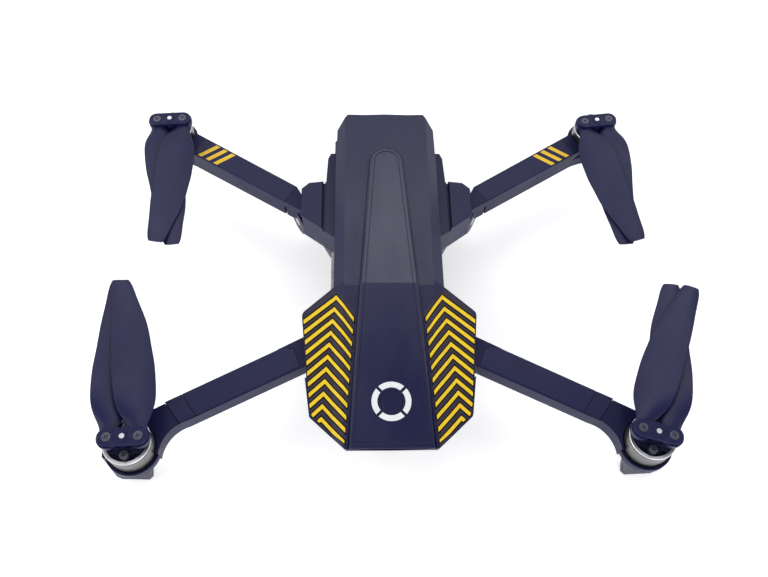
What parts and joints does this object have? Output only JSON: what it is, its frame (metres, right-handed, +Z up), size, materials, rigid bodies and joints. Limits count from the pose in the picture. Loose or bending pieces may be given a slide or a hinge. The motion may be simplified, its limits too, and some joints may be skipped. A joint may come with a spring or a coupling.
{
  "type": "folding camera quadcopter",
  "caption": "Folding camera quadcopter: tapered body with spine cover and chevron decals, swinging arms, spinning motors with folding blades, tilting nose camera and slide-out battery.",
  "frame": {"origin": "On the ground under the middle of the four motor axes, where the feet and the landing pads rest.", "axes": "+Z is up, the nose and the camera face -Y, and +X is the side the right-hand arms point to in the part's node names."},
  "size_m": [0.2459, 0.1764, 0.0509],
  "materials": {
    "shell_plastic": "satin navy-grey moulded plastic with a fine grain",
    "spine_plastic": "satin navy-grey moulded plastic, slightly smoother",
    "light_guide": "milky white light guide",
    "button_plastic": "satin navy-grey button",
    "bottom_plastic": "satin navy-grey moulded plastic with a fine grain",
    "pad_rubber": "soft black rubber",
    "sensor_glass": "dark gloss sensor windows",
    "screw_steel": "zinc-plated steel",
    "circuit_board": "green lacquered board with black parts",
    "battery_plastic": "satin dark plastic case",
    "bracket_plastic": "matt black plastic",
    "camera_plastic": "half-gloss black plastic",
    "lens_glass": "dark coated lens glass",
    "pin_steel": "plain steel pins",
    "latch_plastic": "satin dark plastic with grip ribs",
    "block_plastic": "satin navy-grey moulded plastic",
    "arm_plastic": "satin navy-grey moulded plastic",
    "arm_cover_plastic": "satin navy-grey moulded plastic, slightly smoother",
    "foot_plastic": "satin navy-grey moulded plastic",
    "stripe_print": "warm yellow print",
    "chevron_print": "bright yellow print",
    "stator_iron": "dark iron teeth with varnished windings",
    "bell_aluminium": "turned bright aluminium",
    "mount_plastic": "half-gloss black plastic",
    "clamp_plastic": "half-gloss black plastic",
    "prop_screw_steel": "blackened steel",
    "blade_plastic": "satin charcoal plastic with a moulded grain"
  },
  "bodies": {
    "airframe": {"top_shell": "shell_plastic", "bottom_shell": "bottom_plastic", "spine_cover": "spine_plastic", "light_ring": "light_guide", "rear_hinge_block_left": "block_plastic", "rear_hinge_block_right": "block_plastic", "hinge_pins": "pin_steel", "body_screws": "screw_steel", "main_board": "circuit_board", "camera_bracket": "bracket_plastic", "belly_sensors": "sensor_glass", "landing_pads": "pad_rubber", "chevrons_left": "chevron_print", "chevrons_right": "chevron_print"},
    "battery": {"battery_pack": "battery_plastic"},
    "camera": {"camera_housing": "camera_plastic", "camera_lens": "lens_glass"},
    "power_button": {"power_button": "button_plastic"},
    "battery_latch_left": {"battery_latch_left": "latch_plastic"},
    "arm_front_left": {"arm_shell_front_left": "arm_plastic", "arm_cover_front_left": "arm_cover_plastic", "front_foot_left": "foot_plastic", "motor_stator_front_left": "stator_iron"},
    "arm_rear_left": {"arm_shell_rear_left": "arm_plastic", "arm_cover_rear_left": "arm_cover_plastic", "arm_stripes_rear_left": "stripe_print", "motor_stator_rear_left": "stator_iron"},
    "battery_latch_right": {"battery_latch_right": "latch_plastic"},
    "arm_front_right": {"arm_shell_front_right": "arm_plastic", "arm_cover_front_right": "arm_cover_plastic", "front_foot_right": "foot_plastic", "motor_stator_front_right": "stator_iron"},
    "arm_rear_right": {"arm_shell_rear_right": "arm_plastic", "arm_cover_rear_right": "arm_cover_plastic", "arm_stripes_rear_right": "stripe_print", "motor_stator_rear_right": "stator_iron"},
    "rotor_front_left": {"motor_bell_front_left": "bell_aluminium", "prop_mount_front_left": "mount_plastic", "prop_clamp_front_left": "clamp_plastic", "prop_screws_front_left": "prop_screw_steel"},
    "blade_front_left_a": {"blade_front_left_a": "blade_plastic"},
    "blade_front_left_b": {"blade_front_left_b": "blade_plastic"},
    "rotor_front_right": {"motor_bell_front_right": "bell_aluminium", "prop_mount_front_right": "mount_plastic", "prop_clamp_front_right": "clamp_plastic", "prop_screws_front_right": "prop_screw_steel"},
    "blade_front_right_a": {"blade_front_right_a": "blade_plastic"},
    "blade_front_right_b": {"blade_front_right_b": "blade_plastic"},
    "rotor_rear_left": {"motor_bell_rear_left": "bell_aluminium", "prop_mount_rear_left": "mount_plastic", "prop_clamp_rear_left": "clamp_plastic", "prop_screws_rear_left": "prop_screw_steel"},
    "blade_rear_left_a": {"blade_rear_left_a": "blade_plastic"},
    "blade_rear_left_b": {"blade_rear_left_b": "blade_plastic"},
    "rotor_rear_right": {"motor_bell_rear_right": "bell_aluminium", "prop_mount_rear_right": "mount_plastic", "prop_clamp_rear_right": "clamp_plastic", "prop_screws_rear_right": "prop_screw_steel"},
    "blade_rear_right_a": {"blade_rear_right_a": "blade_plastic"},
    "blade_rear_right_b": {"blade_rear_right_b": "blade_plastic"}
  },
  "joints": [
    {"name": "arm_front_left_fold", "type": "hinge", "parent": "airframe", "child": "arm_front_left", "pos_m": [-0.029, -0.035, 0.0333], "axis": [0, 0, 1], "range_deg": [-55, 0]},
    {"name": "arm_front_right_fold", "type": "hinge", "parent": "airframe", "child": "arm_front_right", "pos_m": [0.029, -0.035, 0.0333], "axis": [0, 0, -1], "range_deg": [-55, 0]},
    {"name": "arm_rear_left_fold", "type": "hinge", "parent": "airframe", "child": "arm_rear_left", "pos_m": [-0.036, 0.0371, 0.022], "axis": [0.8748, 0.4845, 0], "range_deg": [-180, 0]},
    {"name": "arm_rear_right_fold", "type": "hinge", "parent": "airframe", "child": "arm_rear_right", "pos_m": [0.036, 0.0371, 0.022], "axis": [0.8748, -0.4845, 0], "range_deg": [-180, 0]},
    {"name": "rotor_front_left_spin", "type": "hinge", "parent": "arm_front_left", "child": "rotor_front_left", "pos_m": [-0.1, -0.0776, 0.036], "axis": [0, 0, 1], "continuous": true},
    {"name": "blade_front_left_a_fold", "type": "hinge", "parent": "rotor_front_left", "child": "blade_front_left_a", "pos_m": [-0.09421, -0.07735, 0.04785], "axis": [0, 0, -1], "range_deg": [0, 100.5]},
    {"name": "blade_front_left_b_fold", "type": "hinge", "parent": "rotor_front_left", "child": "blade_front_left_b", "pos_m": [-0.10579, -0.07785, 0.04785], "axis": [0, 0, 1], "range_deg": [0, 88.6]},
    {"name": "rotor_front_right_spin", "type": "hinge", "parent": "arm_front_right", "child": "rotor_front_right", "pos_m": [0.1, -0.0776, 0.036], "axis": [0, 0, -1], "continuous": true},
    {"name": "blade_front_right_a_fold", "type": "hinge", "parent": "rotor_front_right", "child": "blade_front_right_a", "pos_m": [0.09442, -0.07601, 0.04785], "axis": [0, 0, 1], "range_deg": [0, 100.9]},
    {"name": "blade_front_right_b_fold", "type": "hinge", "parent": "rotor_front_right", "child": "blade_front_right_b", "pos_m": [0.10558, -0.07919, 0.04785], "axis": [0, 0, -1], "range_deg": [0, 95.4]},
    {"name": "rotor_rear_left_spin", "type": "hinge", "parent": "arm_rear_left", "child": "rotor_rear_left", "pos_m": [-0.1007, 0.0776, 0.029], "axis": [0, 0, -1], "continuous": true},
    {"name": "blade_rear_left_a_fold", "type": "hinge", "parent": "rotor_rear_left", "child": "blade_rear_left_a", "pos_m": [-0.09491, 0.07795, 0.04085], "axis": [0, 0, 1], "range_deg": [0, 97.5]},
    {"name": "blade_rear_left_b_fold", "type": "hinge", "parent": "rotor_rear_left", "child": "blade_rear_left_b", "pos_m": [-0.10649, 0.07725, 0.04085], "axis": [0, 0, -1], "range_deg": [0, 97.9]},
    {"name": "rotor_rear_right_spin", "type": "hinge", "parent": "arm_rear_right", "child": "rotor_rear_right", "pos_m": [0.1007, 0.0776, 0.029], "axis": [0, 0, 1], "continuous": true},
    {"name": "blade_rear_right_a_fold", "type": "hinge", "parent": "rotor_rear_right", "child": "blade_rear_right_a", "pos_m": [0.09494, 0.07688, 0.04085], "axis": [0, 0, -1], "range_deg": [0, 95.2]},
    {"name": "blade_rear_right_b_fold", "type": "hinge", "parent": "rotor_rear_right", "child": "blade_rear_right_b", "pos_m": [0.10646, 0.07832, 0.04085], "axis": [0, 0, 1], "range_deg": [0, 98.4]},
    {"name": "power_button_press", "type": "slide", "parent": "airframe", "child": "power_button", "axis": [0, 0.124, -0.9923], "range_m": [0, 0.0005], "stiffness_N_per_m": 200},
    {"name": "camera_tilt", "type": "hinge", "parent": "airframe", "child": "camera", "pos_m": [0, -0.0626, 0.0145], "axis": [1, 0, 0], "range_deg": [-20, 90]},
    {"name": "battery_slide", "type": "slide", "parent": "airframe", "child": "battery", "axis": [0, 1, 0], "range_m": [0, 0.075]},
    {"name": "battery_latch_left_press", "type": "slide", "parent": "battery", "child": "battery_latch_left", "axis": [1, 0, 0], "range_m": [0, 0.0012], "stiffness_N_per_m": 300},
    {"name": "battery_latch_right_press", "type": "slide", "parent": "battery", "child": "battery_latch_right", "axis": [-1, 0, 0], "range_m": [0, 0.0012], "stiffness_N_per_m": 300}
  ]
}
